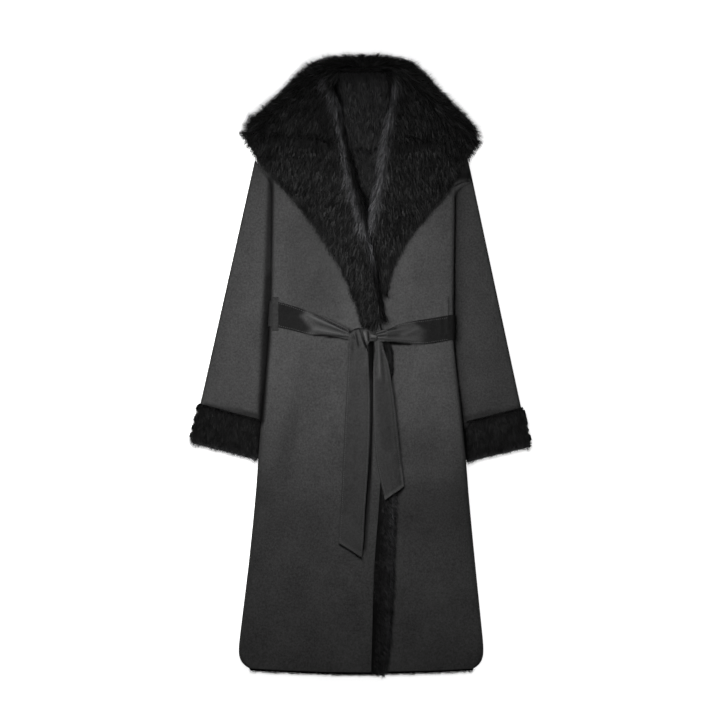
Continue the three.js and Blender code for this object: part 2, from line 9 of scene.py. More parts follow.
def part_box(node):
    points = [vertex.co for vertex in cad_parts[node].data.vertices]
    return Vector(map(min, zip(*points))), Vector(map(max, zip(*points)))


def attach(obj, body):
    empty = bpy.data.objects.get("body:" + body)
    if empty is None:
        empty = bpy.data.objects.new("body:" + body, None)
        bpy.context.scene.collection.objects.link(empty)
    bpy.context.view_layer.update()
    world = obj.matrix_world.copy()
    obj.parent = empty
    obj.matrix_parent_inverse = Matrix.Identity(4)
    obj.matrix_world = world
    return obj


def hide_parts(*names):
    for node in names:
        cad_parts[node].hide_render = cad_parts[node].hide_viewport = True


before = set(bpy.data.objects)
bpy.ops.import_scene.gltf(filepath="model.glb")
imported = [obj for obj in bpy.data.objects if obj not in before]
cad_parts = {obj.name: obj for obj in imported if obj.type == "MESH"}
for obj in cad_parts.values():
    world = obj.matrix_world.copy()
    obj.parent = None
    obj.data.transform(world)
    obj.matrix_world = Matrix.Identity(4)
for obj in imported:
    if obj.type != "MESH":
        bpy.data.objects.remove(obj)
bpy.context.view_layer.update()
MM = 0.001
# How far the frame's origin was moved when the whole coat was centred, so that places below
# can be given in the coat's own measure, with the middle of the neck at x = 0. The belt loop's
# low corner has a known place in that measure.
LOOP_PLACE = (-0.179, 0.069)
loop_low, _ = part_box("belt_loop")
MIDDLE_X = loop_low[0] - LOOP_PLACE[0]
MIDDLE_Y = loop_low[1] - LOOP_PLACE[1]


# The outer cloth is a bonded suede: a short brushed nap, nearly charcoal, a little uneven
# where the nap has been stroked one way or the other.
def linear(hex_colour):
    parts = [int(hex_colour[i:i + 2], 16) / 255 for i in (1, 3, 5)]
    straight = [c / 12.92 if c <= 0.04045 else ((c + 0.055) / 1.055) ** 2.4 for c in parts]
    return (*straight, 1)


def put(tree, kind, inputs=None, **settings):
    """A node with its settings. Each input is a value or another node's output."""
    made = tree.nodes.new(kind)
    for name, value in settings.items():
        setattr(made, name, value)
    for name, value in (inputs or {}).items():
        if hasattr(value, "is_linked"):
            tree.links.new(value, made.inputs[name])
        else:
            made.inputs[name].default_value = value
    return made


def bare_material(name):
    made = bpy.data.materials.new(name)
    made.use_nodes = True
    made.node_tree.nodes.clear()
    return made, made.node_tree


def speckle(tree, where, scale, detail, roughness=0.5, distortion=0.0, out="Fac"):
    """Uneven spots, 'scale' of them to the metre."""
    return put(tree, "ShaderNodeTexNoise", {
        "Vector": where, "Scale": scale, "Detail": detail, "Roughness": roughness,
        "Distortion": distortion}).outputs[out]


def maths(tree, how, a, b, **settings):
    return put(tree, "ShaderNodeMath", {0: a, 1: b}, operation=how, **settings).outputs[0]


def carried(tree, name):
    """A number that the piece carries for each of its points."""
    return put(tree, "ShaderNodeAttribute", attribute_name=name).outputs["Fac"]


def mixed(tree, share, first, second):
    """A colour between two others."""
    mix = put(tree, "ShaderNodeMix", {0: share, 6: first, 7: second}, data_type="RGBA")
    return mix.outputs[2]


def graded(tree, share, stops):
    """A colour that goes from the first stop to the second as the share rises."""
    ramp = put(tree, "ShaderNodeValToRGB", {"Fac": share})
    for element, (place, colour) in zip(ramp.color_ramp.elements, stops):
        element.position = place
        element.color = linear(colour)
    return ramp.outputs[0]


def bumped(tree, height, strength, deep, over=None):
    """A surface raised by a pattern, over a coarser bump if there is one."""
    bump = put(tree, "ShaderNodeBump", {"Height": height, "Strength": strength, "Distance": deep})
    if over is not None:
        tree.links.new(over, bump.inputs["Normal"])
    return bump.outputs[0]


def surfaced(tree, inputs):
    shader = put(tree, "ShaderNodeBsdfPrincipled", inputs)
    put(tree, "ShaderNodeOutputMaterial", {"Surface": shader.outputs[0]})


def napped_cloth(name, dark, light, roughness, sheen):
    """Brushed suede: broad stroked patches, a streaky nap and a fine grain. A piece's share of
    painted darkening turns it near black without sheen (painted shade and darker tones), and its
    share of painted highlight turns it light."""
    made, tree = bare_material(name)
    where = put(tree, "ShaderNodeTexCoord").outputs["Object"]
    stretched = put(tree, "ShaderNodeMapping", {
        "Vector": where, "Scale": (1.0, 0.85, 1.0)}).outputs[0]
    patches = speckle(tree, stretched, 14.0, 4.0, 0.55)
    streaks = speckle(tree, stretched, 300.0, 3.0, 0.75)
    grain = speckle(tree, where, 900.0, 2.0, 0.7)
    crumple = speckle(tree, stretched, 34.0, 3.0, 0.6, 1.4)
    both = put(tree, "ShaderNodeMix", {0: 0.7, 2: patches, 3: streaks}, data_type="FLOAT")
    all_three = put(tree, "ShaderNodeMix", {
        0: 0.25, 2: both.outputs[0], 3: grain}, data_type="FLOAT")
    plain = graded(tree, all_three.outputs[0], [(0.34, dark), (0.66, light)])
    stroked = carried(tree, "stroked")
    # Painted shade: the colour goes to near black where the piece carries painted darkening.
    painted_darker = mixed(tree, stroked, plain, linear("#020202"))
    # Painted highlight: the colour goes to a light grey where the piece carries painted highlight.
    painted_lighter = mixed(tree, carried(tree, "brushed"), painted_darker, linear("#5c5c5c"))
    # Painted shade also takes away the specular and the sheen, so it reads near black.
    not_painted_dark = maths(tree, "SUBTRACT", 1.0, stroked, use_clamp=True)
    coarse = bumped(tree, streaks, 0.12, 0.001)
    crumpled = bumped(tree, crumple, 0.35, 0.0035, coarse)
    surfaced(tree, {
        "Base Color": painted_lighter, "Roughness": roughness,
        "Normal": bumped(tree, grain, 0.35, 0.0004, crumpled),
        "Specular IOR Level": maths(tree, "MULTIPLY", not_painted_dark, 0.04),
        "Sheen Weight": maths(tree, "MULTIPLY", not_painted_dark, sheen),
        "Sheen Roughness": 0.45, "Sheen Tint": linear("#bcbcbc")})
    return made


suede = napped_cloth("charcoal_suede", "#161616", "#2e2e2e", 0.95, 0.02)


# The coat's cloth panels: back, two fronts and two sleeves, each cut from the suede and sewn at
# the sides and armholes. They lie nearly flat, with soft folds where the belt pulls.
FOLDS = [
    # from x, from y, to x, to y, width, height, all mm; a trough has a height below 0
    ("gather by the side, right", 158, 128, 160, 62, 4.0, 2.2),
    ("second gather, right", 173, 132, 174, 66, 3.5, 1.8),
    ("third gather, right", 141, 118, 140, 72, 4.5, 1.2),
    ("gather by the side, left", -150, 150, -148, 118, 5.0, 1.4),
    ("pull to the knot, left", -130, 190, -60, 118, 13.0, 1.6),
    ("pull to the knot, right", 110, 180, 70, 112, 13.0, 1.5),
    ("skirt fold from the belt, left", -92, 52, -120, -330, 24.0, 1.3),
    ("skirt fold, far left", -160, 40, -196, -420, 26.0, 1.2),
    ("slanting crease, left", -78, -110, -38, -300, 10.0, 1.4),
    ("skirt fold from the belt, right", 112, 40, 134, -300, 22.0, 1.3),
    ("skirt fold, far right", 160, 30, 196, -400, 24.0, 1.2),
    ("short crease, right", 96, -60, 120, -150, 8.0, 1.2),
    ("chest drape, left", -150, 330, -120, 180, 20.0, 1.6),
    ("chest drape, right", 160, 300, 140, 170, 20.0, 1.6),
]


def from_fold(x, y, ax, ay, bx, by):
    """How far along a straight fold a place lies, from 0 to 1, and how far from it."""
    dx, dy = bx - ax, by - ay
    near = min(1.0, max(0.0, ((x - ax) * dx + (y - ay) * dy) / (dx * dx + dy * dy)))
    return near, math.hypot(x - ax - near * dx, y - ay - near * dy)


def fold_height(x, y):
    """Height in mm that the folds add to the front of the coat at a place in mm."""
    rise = 0.0
    for _, *ends, width, height in FOLDS:
        near, away = from_fold(x, y, *ends)
        fade = min(1.0, 0.35 + 2.2 * min(near, 1 - near))
        rise += height * fade * math.exp(-((away / width) ** 2))
    slow = noise.noise(Vector((x / 110, y / 170, 3.1)))
    return rise + 1.0 + 0.9 * slow


def coat_place(p):
    """A point of the frame in the coat's own measure, mm."""
    return (p[0] - MIDDLE_X) / MM, (p[1] - MIDDLE_Y) / MM


def raise_folds(points, more=lambda x, y: 0.0, above=-1.0):
    """Lifts the points that lie above a height by the coat's folds, and by more mm."""
    for p in points:
        if p[2] > above:
            p[2] += MM * (fold_height(p[0] / MM, p[1] / MM) + more(*coat_place(p)))


def placed(name, data):
    """A new piece, put into the scene."""
    made = bpy.data.objects.new(name, data)
    bpy.context.scene.collection.objects.link(made)
    return made


SHARP = math.radians(62)


def as_new(name, source):
    """A copy of a CAD node in clean four-sided faces, its sharp edges marked to stay sharp."""
    mesh = source.data.copy()
    made = placed(name, mesh)
    shape = bmesh.new()
    shape.from_mesh(mesh)
    bmesh.ops.remove_doubles(shape, verts=shape.verts, dist=2e-5)
    bmesh.ops.dissolve_degenerate(shape, edges=shape.edges, dist=1e-6)
    bmesh.ops.join_triangles(
        shape, faces=shape.faces, angle_face_threshold=1.2, angle_shape_threshold=1.4)
    crease = shape.edges.layers.float.new("crease_edge")
    for edge in shape.edges:
        if len(edge.link_faces) == 2 and edge.calc_face_angle(0) > SHARP:
            edge[crease] = 1.0
    bmesh.ops.recalc_face_normals(shape, faces=shape.faces)
    shape.to_mesh(mesh)
    shape.free()
    mesh.materials.clear()
    return made


def baked(obj):
    """The piece with its modifiers made real."""
    graph = bpy.context.evaluated_depsgraph_get()
    mesh = bpy.data.meshes.new_from_object(obj.evaluated_get(graph))
    obj.modifiers.clear()
    old = obj.data
    obj.data = mesh
    bpy.data.meshes.remove(old)
    return obj


def all_smooth(obj):
    for face in obj.data.polygons:
        face.use_smooth = True
    return obj


def smoothed(obj, levels):
    soft = obj.modifiers.new("soft", "SUBSURF")
    soft.levels = soft.render_levels = levels
    return all_smooth(baked(obj))


def points_of(obj, what="co"):
    flat = np.zeros(len(obj.data.vertices) * 3, np.float32)
    obj.data.vertices.foreach_get(what, flat)
    return flat.reshape(-1, 3)


def put_points(obj, points):
    obj.data.vertices.foreach_set("co", np.asarray(points, np.float32).ravel())
    obj.data.update()


def dressed(obj, material, slot, *nodes):
    obj.data.materials.append(material)
    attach(obj, "root")
    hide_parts(*nodes)


HEM_FLARE = 0.024


def hem_drawn_up(points, by=0.006):
    """The hem is turned up a little, so that the lining's pile reaches the coat's full length,
    and flares a little wider towards its corners."""
    points[:, 0] *= 1 + HEM_FLARE * np.clip((-0.25 - points[:, 1]) / 0.35, 0, 1)
    points[:, 1] += by * np.clip((-0.52 - points[:, 1]) / 0.07, 0, 1) ** 2


def lay_panel(name, levels, folded):
    """A panel on its CAD node's form, where folded with the coat's folds in both its faces."""
    obj = smoothed(as_new(name + "_cloth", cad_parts[name]), levels)
    points = points_of(obj)
    if folded:
        raise_folds(points)
    if points[:, 1].min() < -0.5:
        hem_drawn_up(points)
    put_points(obj, points)
    dressed(obj, suede, "suede", name)
    return obj


back = lay_panel("back_shell", 2, False)
upper_front = lay_panel("right_front_shell", 3, True)
lower_front = lay_panel("left_front_shell", 3, True)
right_sleeve = lay_panel("right_sleeve_shell", 3, False)
left_sleeve = lay_panel("left_sleeve_shell", 3, False)


# The fur: long shaggy near-black acrylic pile. Its ground is a dark knitted back, and the hairs
# are tapered ribbons that lie down along the nap in uneven locks.
def fur_hair(name, root_colour, tip_colour, shine):
    """Hair that is darkest at its root, uneven from lock to lock, with a glint where the piece
    says so."""
    made, tree = bare_material(name)
    where = put(tree, "ShaderNodeTexCoord").outputs["Object"]
    tone = carried(tree, "tone")
    along = maths(tree, "MULTIPLY", carried(tree, "along"), 0.45)
    own = maths(tree, "MULTIPLY", tone, 0.2)
    locks = maths(tree, "MULTIPLY", speckle(tree, where, 45.0, 2.0), 0.4)
    total = maths(tree, "ADD", maths(tree, "ADD", along, own), locks, use_clamp=True)
    plain = mixed(tree, total, linear(root_colour), linear(tip_colour))
    catching = maths(tree, "MULTIPLY", carried(tree, "glint"), tone)
    surfaced(tree, {"Base Color": mixed(tree, catching, plain, linear("#565658")),
                    "Roughness": 0.42, "Specular IOR Level": shine})
    return made


def fur_ground(name, dark, light):
    made, tree = bare_material(name)
    where = put(tree, "ShaderNodeTexCoord").outputs["Object"]
    combed = put(tree, "ShaderNodeMapping", {
        "Vector": where, "Scale": (1.0, 0.25, 1.0)}).outputs[0]
    strands = speckle(tree, combed, 420.0, 4.0, 0.7, 0.6)
    surfaced(tree, {
        "Base Color": graded(tree, strands, [(0.35, dark), (0.7, light)]),
        "Roughness": 0.85, "Specular IOR Level": 0.04,
        "Normal": bumped(tree, strands, 0.8, 0.003)})
    return made


dark_fur = fur_hair("black_fur_pile", "#030303", "#0f0f0f", 0.04)
ground = fur_ground("black_fur_ground", "#030303", "#080808")


def hair_shape(name, lift, twist):
    """One hair lock, a metre long and tapered to a point, along +X and a little off the cloth."""
    stations = [(0.0, 0.0, 0.012), (0.48, 1.0, 0.013), (1.0, 0.8, 0.0)]
    points, along = [], []
    for x, z, wide in stations:
        side = twist * x * 0.12
        if wide:
            points += [(x, side - wide, z * lift), (x, side + wide, z * lift + wide * 0.5)]
            along += [x, x]
        else:
            points.append((x, side, z * lift))
            along.append(x)
    mesh = bpy.data.meshes.new(name)
    mesh.from_pydata(points, [], [(0, 2, 3, 1), (2, 4, 3)])
    mesh.attributes.new("along", "FLOAT", "POINT").data.foreach_set("value", along)
    return bpy.data.objects.new(name, mesh)


hair_kinds = bpy.data.collections.new("hair_kinds")
for kind, (lift, twist) in enumerate([(0.13, 1), (0.2, -1), (0.09, 0.4), (0.27, -0.5)]):
    hair_kinds.objects.link(hair_shape(f"hair_kind_{kind}", lift, twist))


def node_group(name, **wanted):
    """An empty node tree that takes a mesh and the wanted inputs, and the outputs that give
    them inside it."""
    tree = bpy.data.node_groups.new(name, "GeometryNodeTree")
    for label, kind in {"Geometry": "Geometry", **wanted}.items():
        tree.interface.new_socket(label, in_out="INPUT", socket_type="NodeSocket" + kind)
    tree.interface.new_socket("Geometry", in_out="OUTPUT", socket_type="NodeSocketGeometry")
    return tree, put(tree, "NodeGroupInput").outputs


def named(tree, name, kind="FLOAT"):
    return put(tree, "GeometryNodeInputNamedAttribute", {"Name": name},
               data_type=kind).outputs[0]


def vectors(tree, how, inputs):
    return put(tree, "ShaderNodeVectorMath", inputs, operation=how).outputs[0]


def one_each(tree, low, high, seed):
    """A number drawn for each hair."""
    return put(tree, "FunctionNodeRandomValue", {2: low, 3: high, "Seed": seed}).outputs[1]


# A noise's middle, to be taken off it, and how far single hairs turn out of the nap.
HALF = (0.5, 0.5, 0.5)
STRAY = 0.22
# No hair rises over this height, metres.
FUR_TOP = 0.0625


def fur_growing(name):
    """Node tree: scatters hairs where 'thick' says, along 'nap', 'long' metres long."""
    tree, given = node_group(name, Density="Float", Mess="Float", Wave="Float", Floor="Float",
                             Seed="Int", Material="Material")
    roots = put(tree, "GeometryNodeDistributePointsOnFaces", {
        "Mesh": given["Geometry"], "Seed": given["Seed"],
        "Density": maths(tree, "MULTIPLY", given["Density"], named(tree, "thick"))})
    where = put(tree, "GeometryNodeInputPosition").outputs[0]
    stray = vectors(tree, "SUBTRACT", {0: speckle(tree, where, 38.0, 2.0, out="Color"), 1: HALF})
    messy = vectors(tree, "SCALE", {0: stray, "Scale": given["Mess"]})
    turned = vectors(tree, "ADD", {0: named(tree, "nap", "FLOAT_VECTOR"), 1: messy})
    own = put(tree, "FunctionNodeRandomValue", {
        "Min": [-STRAY] * 3, "Max": [STRAY] * 3, "Seed": given["Seed"]},
        data_type="FLOAT_VECTOR").outputs[0]
    flow = vectors(tree, "ADD", {0: turned, 1: own})
    stand = put(tree, "FunctionNodeAlignRotationToVector", {
        "Vector": roots.outputs["Normal"]}, axis="Z")
    lie = put(tree, "FunctionNodeAlignRotationToVector", {
        "Rotation": stand.outputs[0], "Vector": flow}, axis="X", pivot_axis="Z")
    size = one_each(tree, 0.62, 1.12, given["Seed"])
    kinds = put(tree, "GeometryNodeCollectionInfo", {
        "Collection": hair_kinds, "Separate Children": True, "Reset Children": True})
    planted = put(tree, "GeometryNodeInstanceOnPoints", {
        "Points": roots.outputs["Points"], "Instance": kinds.outputs[0],
        "Pick Instance": True, "Rotation": lie.outputs[0],
        "Scale": maths(tree, "MULTIPLY", size, named(tree, "long"))})
    turn = put(tree, "ShaderNodeCombineXYZ", {"X": one_each(tree, -0.7, 0.7, 7)})
    rolled = put(tree, "GeometryNodeRotateInstances", {
        "Instances": planted.outputs[0], "Rotation": turn.outputs[0], "Local Space": True})
    toned = put(tree, "GeometryNodeStoreNamedAttribute", {
        "Geometry": rolled.outputs[0], "Name": "tone", "Value": one_each(tree, 0.0, 1.0, 11)},
        data_type="FLOAT", domain="INSTANCE")
    real = put(tree, "GeometryNodeRealizeInstances", {"Geometry": toned.outputs[0]})
    here = put(tree, "GeometryNodeInputPosition").outputs[0]
    pull = vectors(tree, "SUBTRACT", {0: speckle(tree, here, 90.0, 1.0, out="Color"), 1: HALF})
    reach = maths(tree, "MULTIPLY", named(tree, "along"), given["Wave"])
    waved = put(tree, "GeometryNodeSetPosition", {
        "Geometry": real.outputs[0], "Offset": vectors(tree, "SCALE", {0: pull, "Scale": reach})})
    now = put(tree, "GeometryNodeInputPosition").outputs[0]
    parts = put(tree, "ShaderNodeSeparateXYZ", {0: now}).outputs
    above = maths(tree, "MAXIMUM", parts[2], given["Floor"])
    held = put(tree, "ShaderNodeCombineXYZ", {
        0: parts[0], 1: parts[1], 2: maths(tree, "MINIMUM", above, FUR_TOP)})
    floored = put(tree, "GeometryNodeSetPosition", {
        "Geometry": waved.outputs[0], "Position": held.outputs[0]})
    dyed = put(tree, "GeometryNodeSetMaterial", {
        "Geometry": floored.outputs[0], "Material": given["Material"]})
    put(tree, "NodeGroupOutput", {0: dyed.outputs[0]})
    return tree


fur_tree = fur_growing("fur_growing")


def mark(obj, name, values):
    """Writes one number or one direction for each point of a piece."""
    kept = obj.data.attributes
    if name in kept:
        kept.remove(kept[name])
    values = np.asarray(values, np.float32)
    kind, field = ("FLOAT", "value") if values.ndim == 1 else ("FLOAT_VECTOR", "vector")
    kept.new(name, kind, "POINT").data.foreach_set(field, values.ravel())


def worked(obj, tree, values):
    """The piece after a node tree has run over it with the values that it asks for."""
    work = obj.modifiers.new(tree.name, "NODES")
    work.node_group = tree
    for socket in tree.interface.items_tree:
        if socket.in_out == "INPUT" and socket.name in values:
            work[socket.identifier] = values[socket.name]
    obj.data.update()
    obj.update_tag()
    bpy.context.view_layer.update()
    return baked(obj)


# The grown piles and their grounds by name.
piles, grounds = {}, {}
# Hairs to the square metre, and how far they stay above the floor, metres.
SHAGGY = 330000.0
FLOOR_GAP = 0.0004


def grow_fur(name, skin, thick, nap, long, density, mess, wave, seed, glint):
    """Hairs on a skin. thick is a share per point, nap a direction per point, long in metres,
    and glint a share per point for hairs that catch the light."""
    for label, values in (("glint", glint), ("thick", thick), ("nap", nap), ("long", long)):
        mark(skin, label, values)
    made = worked(placed(name, skin.data.copy()), fur_tree, {
        "Density": density, "Mess": mess, "Wave": wave, "Floor": FLOOR_GAP, "Seed": seed,
        "Material": dark_fur})
    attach(made, "root")
    piles[name] = made


def fur_skin(node, levels, sink, keep=None):
    """The ground of a furred piece: its CAD form, softened and drawn in by the hairs' height."""
    skin = smoothed(as_new(node + "_ground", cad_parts[node]), levels)
    points, normals = points_of(skin), points_of(skin, "normal")
    how = np.full(len(points), sink, np.float32)
    if keep is not None:
        how = how * keep(points, normals)
    points = points - normals * how[:, None]
    points[:, 2] = np.maximum(points[:, 2], 0.2 * MM)
    put_points(skin, points)
    dressed(skin, ground, "fur", node)
    grounds[node] = skin
    return skin, points, normals


# The shawl collar: two halves seamed at the centre back. Fur outside, rolled over at the neck and
# falling behind the shoulders. Its nap runs down the lapels and out over the roll.
def outward(normals):
    return np.clip((normals[:, 2] + 0.35) / 0.3, 0, 1)


# The collar's outline in the coat's measure, mm, from the knot round by the wearer's right.
RIM = [(12, 82), (-20, 146), (-44, 194), (-84, 261), (-124, 315), (-174, 375), (-200, 397),
       (-224, 431), (-238, 451), (-238, 471), (-224, 495), (-184, 527), (-144, 571),
       (-114, 601), (-84, 617), (-44, 623), (0, 619), (46, 619), (76, 621), (106, 607),
       (136, 575), (166, 543), (196, 511), (220, 487), (236, 455), (232, 437), (216, 415),
       (190, 387), (180, 355), (148, 325), (126, 297), (96, 257), (76, 225), (60, 191),
       (50, 151), (46, 121), (48, 77)]


# The collar's top side lies above this height, and its cut sections meet across it in a low
# ridge at this y, both in metres.
TOP_SIDE = 0.034
RIDGE_Y = 0.460


def eased(skin, normals, low, high):
    """Evens the height of the collar's top side across the line where its cut sections meet."""
    points = points_of(skin)
    x, y, z = points.T
    z -= 0.003 * np.exp(-((y - RIDGE_Y) / 0.024) ** 2) * (z > TOP_SIDE)
    top = np.flatnonzero((z > TOP_SIDE) & (normals[:, 2] > -0.3) & (y > low) & (y < high))
    tree = kdtree.KDTree(len(top))
    for k, i in enumerate(top):
        tree.insert((x[i], y[i], 0), k)
    tree.balance()
    around = [[found[1] for found in tree.find_range((x[i], y[i], 0), 0.011)] for i in top]
    share = np.clip(np.minimum(y[top] - low, high - y[top]) / 0.015, 0, 1)
    for _ in range(3):
        now = z[top]
        z[top] = now + share * (np.array([now[near].mean() for near in around]) - now)
    put_points(skin, points)


def from_line(line, points):
    """How far each place lies from a line of corners given in the coat's measure, in plan."""
    corners = np.array(line, float) * MM + (MIDDLE_X, MIDDLE_Y)
    best = np.full(len(points), 9.0)
    for a, b in zip(corners[:-1], corners[1:]):
        run = b - a
        t = np.clip(((points[:, :2] - a) @ run) / (run @ run), 0, 1)
        best = np.minimum(best, np.hypot(*(points[:, :2] - a - t[:, None] * run).T))
    return best


def from_turn(points, normals):
    """How far each place is from the piece's turned edges, in plan."""
    edge = np.flatnonzero(np.abs(normals[:, 2]) < 0.45)
    tree = kdtree.KDTree(len(edge))
    for i in edge:
        tree.insert((points[i][0], points[i][1], 0), int(i))
    tree.balance()
    return np.array([tree.find((p[0], p[1], 0))[2] for p in points])


# Where light catches the hairs: thin lines along the two rolled edges.
ROLL_LINES = {
    "right": [(-74, 580), (-56, 539), (-45, 471), (-34, 411), (-19, 359), (-3, 297), (13, 241),
              (28, 191), (40, 149)],
    "left": [(64, 572), (60, 529), (51, 471), (40, 401), (28, 333), (18, 287)],
}
ROLL_WIDTH = {"right": 3.2 * MM, "left": 6.5 * MM}
# Where the two halves meet.
seam = max(v.co.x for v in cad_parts["collar_right"].data.vertices if v.co.y > 0.56)
for side, sign, seed in (("right", -1, 3), ("left", 1, 4)):
    skin, _, normals = fur_skin(
        "collar_" + side, 2, 5.0 * MM,
        lambda p, n: (0.25 + 0.75 * outward(n)) * (np.abs(p[:, 0] - seam) > 0.006))
    eased(skin, normals, 0.395, 0.525)
    points = points_of(skin)
    x, y, z = points.T
    hidden = (z < 0.022) & (normals[:, 2] > 0.4)
    beneath = (z < 0.012) & (normals[:, 2] < -0.3)
    thick = np.where(hidden, 0, np.where(beneath, 0.35, outward(normals)))
    # The nap runs down the lapels, turns level over the top of the roll, and spreads at the rim.
    over_top = np.clip((y - 0.565 - 0.035 * (np.abs(x - seam) < 0.08)) / 0.03, 0, 1)
    down = np.stack([sign * (0.16 + 0.55 * np.clip((y - 0.50) / 0.1, 0, 1)),
                     -1.0 + 1.1 * over_top, np.zeros(len(x))], 1)
    spread = np.stack([x - MIDDLE_X, y - 0.40, np.zeros(len(x))], 1)
    spread /= np.linalg.norm(spread, axis=1)[:, None]
    away = from_line(RIM, points)
    rim = (np.clip(1.2 - away / 0.03, 0, 1) * np.clip((y - 0.43) / 0.05, 0, 1))[:, None]
    roll = np.exp(-(from_line(ROLL_LINES[side], points) / ROLL_WIDTH[side]) ** 2)
    out = (1 - rim) * down + rim * spread
    out[:, 0] -= 0.6 * roll * (sign > 0)
    # The hairs are short at the rim and longest well inside it. Over the seam they stand across.
    tip = np.clip((0.2 - y) / 0.1, 0, 1)
    long = np.minimum(0.034, 0.014 + 0.8 * away + 0.008 * tip)
    long = np.where(beneath, 0.013, long)
    joint = (np.abs(x - seam) < 0.004) & (np.abs(normals[:, 0]) > 0.5) & (y > 0.5)
    out[joint] = (0.0, 1.0, 0.0)
    long = np.where(joint, 0.011, long)
    grow_fur(f"collar_{side}_pile", skin, thick, out, long, SHAGGY, 0.8, 0.011, seed, 0.6 * roll)

# The strip behind the neck runs up under the collar, so that no gap shows at the top of the V.
skin, points, normals = fur_skin("collar_stand", 2, 3.0 * MM)
_, y, z = points.T
top = np.clip((y - 0.50) / 0.05, 0, 1)
foot = np.exp(-((y - y.min()) / 0.012) ** 2)
z += 0.014 * top - 0.0065 * foot
y += 0.022 * top
put_points(skin, points)
grow_fur("collar_stand_pile", skin, outward(normals), np.tile([0.05, -1, 0], (len(points), 1)),
         np.full(len(points), 0.030), SHAGGY, 0.8, 0.010, 5, np.full(len(points), 0.06))


# The fur lining, bonded inside the back and fronts. It shows in the V of the neck, as a strip past
# the upper front's edge, and as a fringe under the hem.
FRINGE_Y = -0.602
for node, seed in (("back_lining", 6), ("right_front_lining", 7), ("left_front_lining", 8)):
    skin, points, normals = fur_skin(node, 1, 0)
    if node != "back_lining":
        raise_folds(points, lambda x, y: -0.3)
    hem_drawn_up(points, 0.0095)
    put_points(skin, points)
    x, y, _ = points.T
    thick = np.clip((FRINGE_Y - y) / 0.006, 0, 1)
    nap = np.tile([0.08, -1.0, 0.0], (len(x), 1))
    long = np.full(len(x), 0.009)
    glint = np.zeros(len(x))
    if node == "back_lining":
        neck = (y > 0.25) & (np.abs(x) < 0.12) & (normals[:, 2] > 0.5)
        thick = np.maximum(thick, neck)
        long = np.where(neck, 0.024, long)
        glint = 0.05 * neck
    grow_fur(node + "_pile", skin, thick, nap, long, 420000.0, 1.0, 0.009, seed, glint)


# The strip of lining past the upper front's edge, from under the knot down to the hem. Its pile
# lies out and down, and is pressed flat where the belt's short end hangs over it.
STRIP_INNER = [(-620, 19), (-450, 23), (-390, 26), (-330, 31), (-270, 36), (-230, 39), (41, 45)]


def cut_from(source, name, keep):
    """The faces of a skin whose centres keep() accepts, as a skin of its own."""
    made = placed(name, source.data.copy())
    shape = bmesh.new()
    shape.from_mesh(made.data)
    bmesh.ops.subdivide_edges(shape, edges=shape.edges, cuts=1, use_grid_fill=True)
    out = [f for f in shape.faces if not keep(f.calc_center_median(), f.normal)]
    bmesh.ops.delete(shape, geom=out, context="FACES")
    shape.to_mesh(made.data)
    shape.free()
    return made


def in_strip(place, normal):
    x, y = coat_place(place)
    inner = np.interp(y, *zip(*STRIP_INNER))
    pressed = -225 < y < -12
    return y < 48 and x > inner + 1 and normal.z > -0.5 and not pressed


patch = cut_from(grounds["right_front_lining"], "front_strip_skin", in_strip)
x, y, _ = points_of(patch).T
outer = np.array([x[np.abs(y - there) < 0.006].max() for there in y])
near = np.exp(-((outer - x) / 0.009) ** 2) * (y - MIDDLE_Y < -0.2)
by_hem = np.clip((y + 0.625) / 0.02, 0.35, 1)
grow_fur("front_strip_pile", patch, np.ones(len(x)),
         np.stack([0.3 + 0.9 * near, 0 * x - 1.0, 0 * x], 1), (0.013 + 0.012 * near) * by_hem,
         480000.0, 0.9, 0.009, 12, 0.02 + 0.24 * near)
bpy.data.objects.remove(patch)


# The lining of the sleeves, hidden but for the slit inside the cuffs.
for side in ("right", "left"):
    fur_skin(side + "_sleeve_lining", 1, 0)


# The cuffs: the same fur turned back over the sleeve ends, nap towards the hand. The hairs along
# the lower edge catch the light.
for side, sign, seed, shine in (("right", -1, 9, 0.0), ("left", 1, 10, 0.03)):
    skin, points, normals = fur_skin(
        side + "_cuff", 2, 4.5 * MM, lambda p, n: 1.0 * (n[:, 2] * (p[:, 2] - p[:, 2].mean()) > 0))
    points[:, 1] += 0.004 * np.clip((points[:, 1].max() - 0.02 - points[:, 1]) / 0.08, 0, 1)
    put_points(skin, points)
    x, y, z = points.T
    middle = z.mean()
    inside = (np.abs(z - middle) < 0.004) & (normals[:, 2] * (z - middle) < 0)
    long = np.minimum(0.020, 0.012 + 0.4 * from_turn(points, normals))
    lowest = np.array([y[np.abs(x - here) < 0.006].min() for here in x])
    edge = np.clip(1 - (y - lowest) / 0.018, 0, 1)
    grow_fur(side + "_cuff_pile", skin, 1.0 - inside, np.tile([sign * 0.2, -1.0, 0.0], (len(x), 1)),
             long, SHAGGY, 1.0, 0.011, seed, shine + 0.6 * edge)


# The belt: the coat's own suede folded double and stitched along its edges, tied in a knot. It is
# pulled into a fan of folds at each side of the knot, and it is darker towards both ends.
sash = napped_cloth("belt_suede", "#151515", "#272727", 0.85, 0.02)
